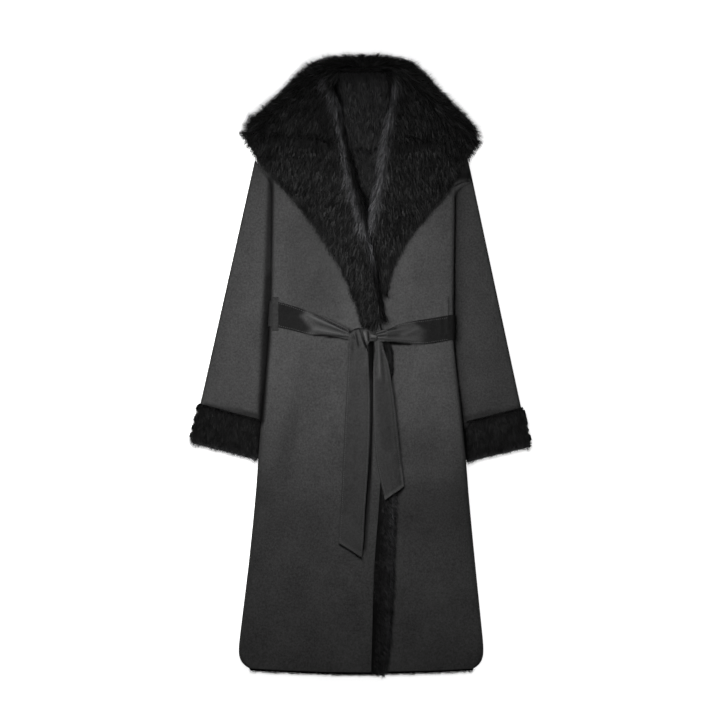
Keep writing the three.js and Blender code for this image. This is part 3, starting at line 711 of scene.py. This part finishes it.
# Folds of the belt in the coat's measure, mm: from x, y to x, y, width there and there, height.
BELT_FOLDS = [
    ("upper edge roll, left", -110, 112, -26, 71, 4.0, 2.0, 1.6),
    ("dark crease, left", -104, 107, -23, 66, 2.4, 2.2, -3.6),
    ("upper ridge, left", -112, 102, -24, 64, 4.0, 1.8, 3.0),
    ("middle crease, left", -96, 86, -24, 62, 3.0, 1.2, -1.4),
    ("lower ridge, left", -108, 76, -24, 59, 5.0, 2.0, 2.6),
    ("lower crease, left", -96, 63, -26, 56, 2.0, 1.6, -2.4),
    ("turn, left", -114, 108, -108, 68, 4.0, 4.0, 1.0),
    ("upper crease, right", 36, 67, 74, 76, 1.4, 2.6, -3.0),
    ("upper ridge, right", 34, 63, 96, 76, 1.8, 4.0, 2.4),
    ("middle crease, right", 36, 59, 84, 60, 1.2, 3.0, -1.8),
    ("highlight fold, right", 78, 60, 118, 77, 4.0, 6.0, 2.8),
    ("lower ridge, right", 34, 54, 120, 52, 2.0, 6.0, 2.0),
    ("lower crease, right", 48, 48, 104, 45, 1.4, 2.4, -2.2),
]


def folds_at(table, x, y):
    """Height in mm of the listed folds at a place of the coat, each fading at both its ends."""
    rise = 0.0
    for _, *ends, wide_from, wide_to, height in table:
        near, away = from_fold(x, y, *ends)
        wide = wide_from + near * (wide_to - wide_from)
        rise += height * min(1.0, 0.25 + 4 * min(near, 1 - near)) * math.exp(-(away / wide) ** 2)
    return rise


def dark_end(x, y):
    """How much darker the belt is painted: darkest near its two ends, and not at all by the knot.
    """
    if x < -170:
        return 0.3
    left = (np.interp(y, [60, 75, 98, 108], [-104, -92, -114, -104]) - x) / 18
    right = (x - np.interp(y, [45, 71, 91], [100, 104, 76])) / 32
    share = min(1.0, max(0.0, left, right))
    return 0.74 * share * share * (3 - 2 * share)


def strongest(table, x, y, sign, gain, most):
    """The share of the strongest fold at a place, of the ridges (sign 1) or the troughs (-1)."""
    return max((min(most, gain * sign * fold[-1]) * folds_at([(*fold[:-1], 1.0)], x, y)
                for fold in table if sign * fold[-1] > 0), default=0.0)


def trough_shade(table, x, y):
    """How dark the painted shade in the troughs of the listed folds is."""
    return strongest(table, x, y, -1, 0.26, 0.9)


def ridge_highlight(table, x, y):
    """How light the painted highlight along the ridges of the listed folds is."""
    return 0.4 * strongest(table, x, y, 1, 0.09, 0.5)


def paint_dark(obj, how):
    """Paints the piece darker, by a share for each place of it: painted shade, and darker tones."""
    mark(obj, "stroked", [how(*coat_place(v.co)) for v in obj.data.vertices])


def paint_highlight(obj, how):
    """Paints a highlight on the piece, by a share for each place of it."""
    mark(obj, "brushed", [how(*coat_place(v.co)) for v in obj.data.vertices])


band = smoothed(as_new("belt_band_cloth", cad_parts["belt_band"]), 3)
places = points_of(band)
raise_folds(places, lambda x, y: folds_at(BELT_FOLDS, x, y), 0.02)
put_points(band, places)
# Painted shade in the troughs of the band's folds, and darker towards both ends and over its right
# part; painted highlights along its ridges, half as strong on the right.
paint_dark(band, lambda x, y: max(dark_end(x, y), trough_shade(BELT_FOLDS, x, y), 0.26 * (x > 0)))
paint_highlight(band, lambda x, y: ridge_highlight(BELT_FOLDS, x, y) * (1 - dark_end(x, y)) * (1 if x < 0 else 0.5))
dressed(band, sash, "sash", "belt_band")

# Painted shade and shadow on the coat's cloth: a shadow beside the long end and along the belt's
# edges, and along both sides where the sleeves lie on them: a broad soft line on the wearer's
# right, a thin one on the left. More painted shade lies over the shoulder above the left sleeve's
# head with a dark line along its seam, above both cuffs, in the gathers by the side on the wearer's
# left, and broadly over parts of the skirt and the upper chest on the wearer's right.
PAINTED_SHADE = [
    # from x, y to x, y, half width there and there, how dark
    (20, 44, 20, -29, 9.0, 7.0, 1.0),
    (20, -29, 19.5, -109, 6.0, 5.0, 1.0),
    (19.5, -109, 16, -189, 5.0, 4.5, 1.0),
    (16, -189, 11, -269, 5.5, 4.5, 1.0),
    (11, -269, 4, -372, 4.5, 3.4, 1.0),
    (-20, 65, -72, 91, 5.0, 4.2, 1.0),
    (-27, 56, -66, 58, 4.5, 3.0, 1.0),
    (-66, 58, -100, 62, 3.0, 1.5, 0.9),
    (48, 46, 96, 42, 4.5, 2.5, 1.0),
    (-182, 375, -188, 179, 7.0, 9.0, 0.7),
    (-188, 179, -192, 60, 9.0, 11.0, 0.85),
    (-192, 60, -202, -112, 11.0, 8.0, 0.85),
    (186, 354, 184, 103, 1.0, 1.0, 0.6),
    (183, 51, 189, -1, 1.0, 1.0, 0.6),
    (189, -1, 204, -117, 1.0, 1.0, 0.6),
    (186, 359, 202, 367, 1.6, 1.4, 0.9),
    (202, 367, 220, 369, 1.6, 1.4, 0.9),
    (194, 400, 212, 380, 15.0, 12.0, 0.75),
    (192, 378, 216, 380, 11.0, 10.0, 0.85),
    (-312, -80, -200, -104, 6.0, 7.0, 0.6),
    (208, -106, 322, -82, 6.0, 6.0, 0.5),
    (40, -150, 210, -190, 40.0, 60.0, 0.12),
    (30, -270, 210, -300, 60.0, 70.0, 0.24),
    (-180, -300, -20, -330, 70.0, 70.0, 0.1),
    (-100, 250, -90, 130, 60.0, 50.0, 0.21),
    (173, 138, 173, 100, 1.6, 1.2, 0.5),
    (182, 140, 182, 100, 1.6, 1.2, 0.4),
]


def painted_lines(x, y, table=PAINTED_SHADE):
    """How strong the strongest of the listed painted lines is at a place of the coat: painted shade
    for the shade tables, painted highlight for the lit ones.
    """
    dark = 0.0
    for *ends, wide_from, wide_to, how in table:
        near, away = from_fold(x, y, *ends)
        wide = wide_from + near * (wide_to - wide_from)
        dark = max(dark, how * math.exp(-(away / wide) ** 4))
    return dark


# The coat's cloth carries the painted shade listed above, and the left sleeve a little painted
# shade all over.
for piece in (back, upper_front, lower_front, right_sleeve):
    paint_dark(piece, painted_lines)
paint_dark(left_sleeve, lambda x, y: max(painted_lines(x, y), 0.16))

# The left sleeve's inner edge rides up a little against the coat's side.
INNER_EDGE = [(186, 354), (184, 103), (183, 51), (189, -1), (204, -117)]
places = points_of(left_sleeve)
beside = from_line(INNER_EDGE, places)
upper_face = np.clip((places[:, 2] - 0.008) / 0.006, 0, 1)
places[:, 2] += 0.005 * np.exp(-(beside / 0.014) ** 2) * upper_face
put_points(left_sleeve, places)

loop = smoothed(as_new("belt_loop_cloth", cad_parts["belt_loop"]), 2)
places = points_of(loop)
raise_folds(places, lambda x, y: -1.8)
put_points(loop, places)
# The whole loop is painted darker: painted shade, so that its lit top does not stand out from the
# coat.
paint_dark(loop, lambda x, y: 0.42)
dressed(loop, suede, "suede", "belt_loop")


def over(obj):
    """A piece's form, to be asked for its height."""
    return BVHTree.FromPolygons([tuple(v.co) for v in obj.data.vertices],
                                [tuple(f.vertices) for f in obj.data.polygons])


ON_FRONT = 0.036


def top_of(tree, x, y):
    """The height of a form at a place, or beside it the form's nearest, about where it lies."""
    hit = tree.ray_cast(Vector((x, y, 1)), Vector((0, 0, -1)))[0]
    return (hit or tree.find_nearest(Vector((x, y, ON_FRONT)))[0]).z


SASH_THICK = 2.6 * MM


def lay_end(name, rows, folds, cells, node):
    """A hanging end of the belt as a thin closed sheet. Each row crosses it: left x, y, right
    x, y, how far its middle bows up the coat, height (None on the CAD form), dome, right lift."""
    across, down = cells
    tree = over(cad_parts[node])
    rows = np.array([[np.nan if v is None else v for v in row] for row in rows], float)
    steps = np.concatenate([[0], np.cumsum(np.hypot(*np.diff(rows[:, :2], axis=0).T) + 1.0)])
    known = ~np.isnan(rows[:, 5])
    last = steps[known][-1]
    places = []
    for s in np.linspace(0, steps[-1], down + 1):
        lx, ly, rx, ry, bow, dome, lift = (
            np.interp(s, steps, rows[:, k]) for k in (0, 1, 2, 3, 4, 6, 7))
        given = np.interp(s, steps[known], rows[known, 5])
        free = min(1.0, max(0.0, (s - last) / 30.0))
        for i in range(across + 1):
            u = i / across
            arch = 1 - (2 * u - 1) ** 2
            x = lx + u * (rx - lx)
            y = ly + u * (ry - ly) + bow * arch
            on_cad = 0
            px, py = x * MM + MIDDLE_X, y * MM + MIDDLE_Y
            if free:
                on_cad = top_of(tree, px, py) / MM + 1.2 + fold_height(px / MM, py / MM)
            high = (1 - free) * given + free * on_cad
            high += dome * arch + lift * u * u + 0.8 * (1 - u) ** 6 + folds_at(folds, x, y)
            places.append((px, py, high * MM))
    wide = across + 1
    count = len(places)
    low = [(x, y, z - SASH_THICK) for x, y, z in places]
    faces = []
    for j in range(down):
        for i in range(across):
            a, b = j * wide + i, (j + 1) * wide + i
            faces.append((a, b, b + 1, a + 1))
            faces.append((count + a, count + a + 1, count + b + 1, count + b))
    for i in range(across):
        a, b = i, down * wide + i
        faces.append((a, a + 1, count + a + 1, count + a))
        faces.append((b + 1, b, count + b, count + b + 1))
    for j in range(down):
        a, b = j * wide, (j + 1) * wide
        faces.append((b, a, count + a, count + b))
        a, b = a + across, b + across
        faces.append((a, b, count + b, count + a))
    mesh = bpy.data.meshes.new(name)
    mesh.from_pydata(places + low, [], faces)
    return all_smooth(placed(name, mesh))


# The long end comes round the knot as a loop to the left and runs down without a break.
LONG_END = [
    (-24, 66, 6, 70, 7, 40.5, 0, 0),
    (-26, 64, 8, 67, 8, 46.0, 2, 0),
    (-27, 57, 13, 57, 6, 50.5, 3, 0),
    (-27, 46, 13, 46, 2, 49.0, 3.5, 0),
    (-27, 32, 12, 33, 0, 44.0, 2.5, 1),
    (-28, 8, 13, 8, 0, 39.5, 2.0, 2),
    (-30, -29, 15, -29, 0, None, 1.6, 3),
    (-32, -69, 16, -69, 0, None, 1.2, 3),
    (-36, -149, 15, -149, 0, None, 1.0, 3),
    (-39, -209, 12, -209, 0, None, 1.0, 3),
    (-43, -289, 6, -289, 0, None, 0.8, 3),
    (-46, -340, 3, -350, 0, None, 0.6, 2.5),
    (-47, -355, 0, -385, 0, None, 0.3, 2),
]
LONG_FOLDS = [
    ("lobe crease", -13, 70, -6, 34, 1.6, 2.2, -2.8),
    ("lobe ridge", -5, 72, 4, 30, 2.5, 3.0, 1.6),
    ("inner crease", 1, 72, 12, 34, 1.4, 2.0, -3.4),
    ("left nick", -22, 60, -15, 50, 1.4, 1.6, -1.8),
    ("left gather", -18, 60, -20, -10, 2.0, 5.0, -1.4),
    ("middle gather", -4, 30, -9, -70, 3.0, 8.0, -1.0),
    ("right gather", 8, 30, 8, -50, 2.0, 6.0, 0.9),
    ("long soft fold", -14, -60, -26, -300, 8.0, 10.0, 0.9),
]
long_end = lay_end("belt_tail_long_cloth", LONG_END, LONG_FOLDS, (36, 200), "belt_tail_long")
# Painted shade at the knot's turns: along the top of the loop, inside it, and in its small creases,
# in the same columns as the table of painted shade on the coat.
KNOT_SHADE = [
    (-24, 66, -16, 72, 2.4, 2.2, 0.7),
    (-16, 72, -2, 76, 2.2, 2.2, 0.75),
    (-2, 76, 10, 74, 2.2, 2.0, 0.8),
    (10, 74, 18, 69, 2.0, 2.0, 0.8),
    (-5, 73, 0, 56, 1.6, 2.4, 0.85),
    (0, 56, 7, 40, 2.4, 3.0, 0.9),
    (7, 40, 12, 29, 3.0, 1.6, 0.85),
    (-18, 62, -14, 54, 1.2, 1.6, 0.6),
    (-12, 70, -7, 34, 1.0, 0.8, 0.4),
]
# Painted highlights on the lit cut edge of each hanging end and the nap above it, and the short
# end's dark middle.
LONG_LIT = [(-46, -350, 0, -380, 6.0, 5.0, 0.06), (-40, -320, -5, -350, 24.0, 20.0, 0.03)]
SHORT_LIT = [(46, -265, 84, -239, 4.0, 4.0, 0.1), (84, -239, 77, -205, 4.0, 3.0, 0.07)]
SHORT_DARK = [(42, -40, 50, -160, 18.0, 14.0, 0.32)]
# The long end: painted shade in its creases near the knot and at the knot's turns, and a little
# darker all over; painted highlights on its ridges and its cut edge.
paint_dark(long_end, lambda x, y: max(
    trough_shade(LONG_FOLDS, x, y) * (y > 24), painted_lines(x, y, KNOT_SHADE), 0.1))
paint_highlight(long_end, lambda x, y: max(ridge_highlight(LONG_FOLDS, x, y) * (y > 0), painted_lines(x, y, LONG_LIT)))
dressed(long_end, sash, "sash", "belt_tail_long")

# The short end leaves the knot narrow, with one light fold, and widens to its slanted cut.
SHORT_END = [
    (20, 55, 36, 55, 0, 42.5, 1, 0),
    (25, 46, 39, 46, 0, 44.0, 1.5, 0),
    (26, 31, 44, 31, 0, 41.5, 2.0, 0),
    (23, 7, 52, 8, 0, 39.0, 2.0, 0),
    (22, -15, 56, -12, 0, None, 1.6, 0),
    (22, -69, 64, -63, 0, None, 1.2, 0.5),
    (24, -149, 72, -139, 0, None, 1.0, 1),
    (30, -199, 77, -185, 0, None, 0.8, 1),
    (38, -237, 81, -215, 0, None, 0.6, 1),
    (46, -269, 84, -243, 0, None, 0.3, 1),
]
SHORT_FOLDS = [
    ("light fold", 33, 50, 36, -30, 1.8, 4.0, 2.4),
    ("crease beside it", 39, 40, 46, -50, 1.6, 4.0, -1.6),
    ("left crease", 27, 40, 26, -30, 1.4, 3.0, -1.0),
    ("lower fold", 44, -60, 52, -190, 6.0, 8.0, 0.9),
]
short_end = lay_end("belt_tail_short_cloth", SHORT_END, SHORT_FOLDS, (32, 150), "belt_tail_short")
# The short end: painted shade in its creases, its dark middle, and a little darker all over;
# painted highlights on its upper ridges and its cut edge.
paint_dark(short_end, lambda x, y: max(
    trough_shade(SHORT_FOLDS, x, y), painted_lines(x, y, SHORT_DARK), 0.1))
paint_highlight(short_end, lambda x, y: max(
    ridge_highlight(SHORT_FOLDS, x, y) * (y > -60), painted_lines(x, y, SHORT_LIT)))
dressed(short_end, sash, "sash", "belt_tail_short")

# The wrap at the middle of the knot, a short pleated band that grips both ends.
WRAP_OUTLINE = [
    (0, 70), (8, 74), (16, 70), (25, 66), (31, 62), (32, 55), (29, 49), (21, 48), (15, 46),
    (11, 39), (7, 43), (4, 54)]
WRAP_FOLDS = [
    ("bright pleat", 4, 68, 9, 47, 2.8, 2.4, 2.6),
    ("dark beside it", 12, 71, 14, 46, 1.6, 1.8, -3.4),
    ("upper pleat of the bar", 16, 66, 30, 61, 1.2, 1.2, -2.4),
    ("light pleat of the bar", 17, 60, 30, 57, 2.4, 2.4, 2.0),
    ("lower pleat of the bar", 16, 53, 30, 52, 1.2, 1.2, -2.4),
]


def cushion(name, outline, low, high, folds, rings):
    """A closed pad over an outline, flat beneath and rounded on top."""
    cx, cy = np.mean(outline, axis=0)
    loop = []
    count = len(outline)
    for k in range(count):
        a, b, c, d = (np.array(outline[(k + o) % count], float) for o in (-1, 0, 1, 2))
        for t in (0, 0.2, 0.4, 0.6, 0.8):
            loop.append(0.5 * (2 * b + t * (c - a) + t * t * (2 * a - 5 * b + 4 * c - d)
                               + t ** 3 * (3 * b - a - 3 * c + d)))
    points, faces = [(cx, cy, high + folds_at(folds, cx, cy))], []
    wide = len(loop)
    for j in range(1, rings + 1):
        share = j / rings
        rise = (1 - share ** 3) ** 0.5
        for x, y in loop:
            px, py = cx + share * (x - cx), cy + share * (y - cy)
            points.append((px, py, low + (high - low) * rise + rise * folds_at(folds, px, py)))
    for x, y in loop:
        points.append((x, y, low - 4))
    points.append((cx, cy, low - 4))
    last = len(points) - 1
    for k in range(wide):
        n = (k + 1) % wide
        faces.append((0, 1 + k, 1 + n))
        for j in range(rings):
            a, b = 1 + j * wide, 1 + (j + 1) * wide
            faces.append((a + k, b + k, b + n, a + n))
        a = 1 + rings * wide
        faces.append((a + n, a + k, last))
    mesh = bpy.data.meshes.new(name)
    mesh.from_pydata([(x * MM + MIDDLE_X, y * MM + MIDDLE_Y, z * MM) for x, y, z in points],
                     [], faces)
    return all_smooth(placed(name, mesh))


wrap = cushion("belt_knot_wrap", WRAP_OUTLINE, 45.0, 54.0, WRAP_FOLDS, 14)
# Painted shade in the wrap's pleat troughs and a little all over, and strong painted highlights on
# its pleat ridges.
paint_dark(wrap, lambda x, y: max(trough_shade(WRAP_FOLDS, x, y), 0.15))
paint_highlight(wrap, lambda x, y: 2.4 * ridge_highlight(WRAP_FOLDS, x, y))
dressed(wrap, sash, "sash", "belt_knot")

# Where the belt comes out of the wrap on the wearer's left, its folds spread like a small fan.
FAN_OUTLINE = [
    (22, 64), (30, 68), (40, 71), (50, 73), (53, 62), (52, 51), (42, 47), (32, 46), (24, 50)]
FAN_FOLDS = [
    ("upper pleat", 26, 62, 52, 69, 1.2, 1.6, -2.6),
    ("light ridge", 26, 60, 52, 65, 1.2, 1.8, 1.8),
    ("middle pleat", 26, 58, 52, 60, 1.0, 1.6, -2.2),
    ("second ridge", 26, 56, 52, 56, 1.2, 1.8, 1.6),
    ("lower pleat", 27, 53, 50, 51, 1.0, 1.4, -1.6),
]
fan = cushion("belt_knot_fan", FAN_OUTLINE, 42.5, 47.5, FAN_FOLDS, 12)
# Painted shade in the fan's pleats and painted highlights on its ridges.
paint_dark(fan, lambda x, y: trough_shade(FAN_FOLDS, x, y))
paint_highlight(fan, lambda x, y: ridge_highlight(FAN_FOLDS, x, y))
dressed(fan, sash, "sash", "belt_knot")


# Topstitching: one row of short raised threads 3 mm in from the edges of the belt and its ends,
# in a thread of nearly the cloth's own grey.
thread, tree = bare_material("topstitch_thread")
where = put(tree, "ShaderNodeTexCoord").outputs["Object"]
twist = speckle(tree, where, 700.0, 2.0)
surfaced(tree, {
    "Base Color": mixed(tree, twist, linear("#1c1c1c"), linear("#323232")), "Roughness": 0.6,
    "Specular IOR Level": 0.2, "Normal": bumped(tree, twist, 0.5, 0.0003)})

stitch_mesh = bpy.data.meshes.new("one_stitch")
stitch_mesh.from_pydata(
    [(-1.5, 0, -0.2), (-0.9, -0.4, 0.1), (-0.9, 0.4, 0.1), (-0.7, 0, 0.4),
     (0.7, 0, 0.4), (0.9, -0.4, 0.1), (0.9, 0.4, 0.1), (1.5, 0, -0.2)],
    [], [(0, 1, 3), (0, 3, 2), (1, 5, 4, 3), (3, 4, 6, 2), (5, 7, 4), (4, 7, 6),
         (0, 2, 1), (7, 5, 6), (1, 2, 6, 5)])
one_stitch = bpy.data.objects.new("one_stitch", stitch_mesh)

sewing, given = node_group("sewing", Pitch="Float", Thread="Material")
seam_line = put(sewing, "GeometryNodeMeshToCurve", {"Mesh": given["Geometry"]})
holes = put(sewing, "GeometryNodeResampleCurve", {
    "Curve": seam_line.outputs[0], "Length": given["Pitch"]}, mode="LENGTH")
along = put(sewing, "GeometryNodeInputTangent")
laid = put(sewing, "FunctionNodeAlignRotationToVector", {"Vector": along.outputs[0]}, axis="X")
shape = put(sewing, "GeometryNodeObjectInfo", {"Object": one_stitch})
stitches = put(sewing, "GeometryNodeInstanceOnPoints", {
    "Points": holes.outputs[0], "Instance": shape.outputs["Geometry"],
    "Rotation": laid.outputs[0], "Scale": (MM, MM, MM)})
real = put(sewing, "GeometryNodeRealizeInstances", {"Geometry": stitches.outputs[0]})
threaded = put(sewing, "GeometryNodeSetMaterial", {
    "Geometry": real.outputs[0], "Material": given["Thread"]})
put(sewing, "NodeGroupOutput", {0: threaded.outputs[0]})
STITCH_PITCH = 4.2 * MM
STITCH_INSET = 3.0


def sew(name, cloth, rows):
    """Rows of stitches laid on a piece: each row is a list of places in the coat's measure."""
    tree = over(cloth)
    points, edges = [], []
    for row in rows:
        row = np.array(row, float)
        steps = np.concatenate([[0], np.cumsum(np.hypot(*np.diff(row, axis=0).T))])
        start = len(points)
        for s in np.arange(0, steps[-1], 2.0):
            x = np.interp(s, steps, row[:, 0]) * MM + MIDDLE_X
            y = np.interp(s, steps, row[:, 1]) * MM + MIDDLE_Y
            hit = tree.ray_cast(Vector((x, y, 1)), Vector((0, 0, -1)))[0]
            if hit is None:
                start = len(points)
                continue
            points.append((x, y, hit.z + 0.00005))
            if len(points) - 1 > start:
                edges.append((len(points) - 2, len(points) - 1))
    mesh = bpy.data.meshes.new(name)
    mesh.from_pydata(points, edges, [])
    obj = worked(placed(name, mesh), sewing, {"Pitch": STITCH_PITCH, "Thread": thread})
    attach(obj, "root")
    return obj


def side_rows(rows):
    """The two side edges of a hanging end, drawn in, from below the knot to its slanted cut."""
    low = [row for row in rows if row[1] < 40]
    left = [(row[0] + STITCH_INSET, row[1] + 3 * (row is low[-1])) for row in low]
    right = [(row[2] - STITCH_INSET, row[3] + 3 * (row is low[-1])) for row in low]
    return [left + right[::-1]]


long_thread = sew("belt_tail_long_stitches", long_end, side_rows(LONG_END))
short_thread = sew("belt_tail_short_stitches", short_end, side_rows(SHORT_END))
band_thread = sew("belt_band_stitches", band, [
    [(-165, 124), (-144, 118), (-124, 111), (-104, 103), (-64, 88), (-40, 75)],
    [(-165, 79), (-134, 72), (-114, 66), (-100, 64), (-64, 64), (-30, 60)],
    [(44, 64), (76, 81), (110, 87), (136, 90), (170, 95)],
    [(44, 50), (76, 49), (106, 46), (126, 45), (156, 50), (170, 52)]])


# Plain pale floor, a broad soft light from above the collar, and a camera straight over the coat.
FLOOR_SIDE = 6
floor_mesh = bpy.data.meshes.new("floor")
floor_mesh.from_pydata(
    [(FLOOR_SIDE * x, FLOOR_SIDE * y, 0) for x, y in ((-1, -1), (1, -1), (1, 1), (-1, 1))],
    [], [(0, 1, 2, 3)])
floor = placed("floor", floor_mesh)
pale, tree = bare_material("pale_floor")
surfaced(tree, {
    "Base Color": linear("#f4f4f4"), "Roughness": 0.9, "Specular IOR Level": 0.1,
    "Emission Color": (1, 1, 1, 1), "Emission Strength": 0.85})
floor.data.materials.append(pale)


def soft_light(name, place, aim, size, power):
    lamp = bpy.data.lights.new(name, "AREA")
    lamp.shape = "DISK"
    lamp.size = size
    lamp.energy = power
    obj = placed(name, lamp)
    obj.location = place
    obj.rotation_mode = "QUATERNION"
    obj.rotation_quaternion = (Vector(aim) - Vector(place)).to_track_quat("-Z", "Y")


soft_light("key", (-0.11, 0.15, 0.60), (0.0, -0.02, 0), 0.45, 14.8)
soft_light("fill", (0.6, 0.4, 3.2), (0, 0, 0), 2.4, 10)
world = bpy.data.worlds.new("soft_room")
world.use_nodes = True
room = world.node_tree.nodes["Background"].inputs
room["Color"].default_value = (1, 1, 1, 1)
room["Strength"].default_value = 0.14
bpy.context.scene.world = world
bpy.context.scene.view_settings.view_transform = "Standard"

lens = bpy.data.cameras.new("photo_camera")
lens.lens = 200
lens.sensor_width = 36
lens.clip_end = 100
camera = placed("photo_camera", lens)
camera.location = (MIDDLE_X - 0.004, MIDDLE_Y + 0.011, 8.03)
bpy.context.scene.camera = camera

bpy.context.view_layer.update()
